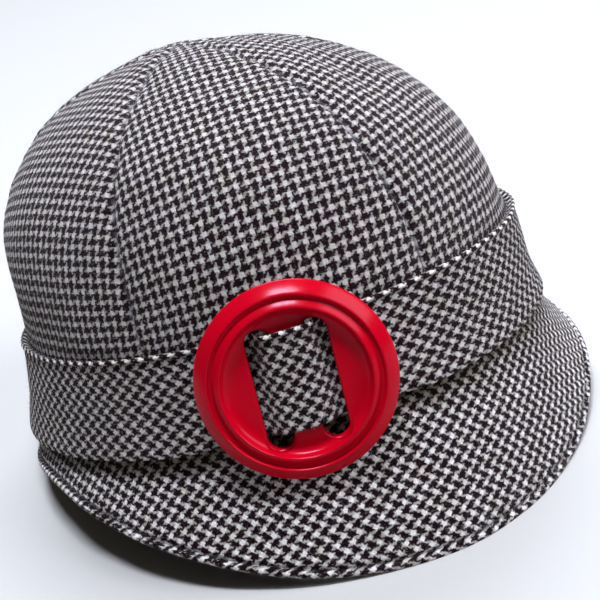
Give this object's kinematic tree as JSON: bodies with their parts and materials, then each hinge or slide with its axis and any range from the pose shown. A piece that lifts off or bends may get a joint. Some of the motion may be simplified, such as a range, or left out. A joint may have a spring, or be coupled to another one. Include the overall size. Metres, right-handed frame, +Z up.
{
  "type": "cloche hat",
  "caption": "Close-fitting wool cloche with a gored crown, a folded band through a round slide buckle, and a brim that droops wide in front and runs narrow at the back.",
  "frame": {"origin": "middle of the hat's footprint, on the surface that the brim's edge rests on", "axes": "+Z up, -Y towards the wide front of the brim, +X towards the wearer's left"},
  "size_m": [0.1922, 0.2178, 0.136],
  "materials": {
    "crown_check_wool": "soft woven wool in a small black and off-white houndstooth check",
    "band_check_wool": "the same wool check cut on the bias and folded",
    "brim_check_wool": "the same wool check cut on the bias, two layers stitched along the edge",
    "red_plastic": "glossy moulded red"
  },
  "bodies": {
    "root": {"crown_panel_1": "crown_check_wool", "crown_panel_2": "crown_check_wool", "crown_panel_3": "crown_check_wool", "crown_panel_4": "crown_check_wool", "crown_panel_5": "crown_check_wool", "crown_panel_6": "crown_check_wool", "band": "band_check_wool", "brim": "brim_check_wool", "buckle": "red_plastic"}
  },
  "joints": []
}
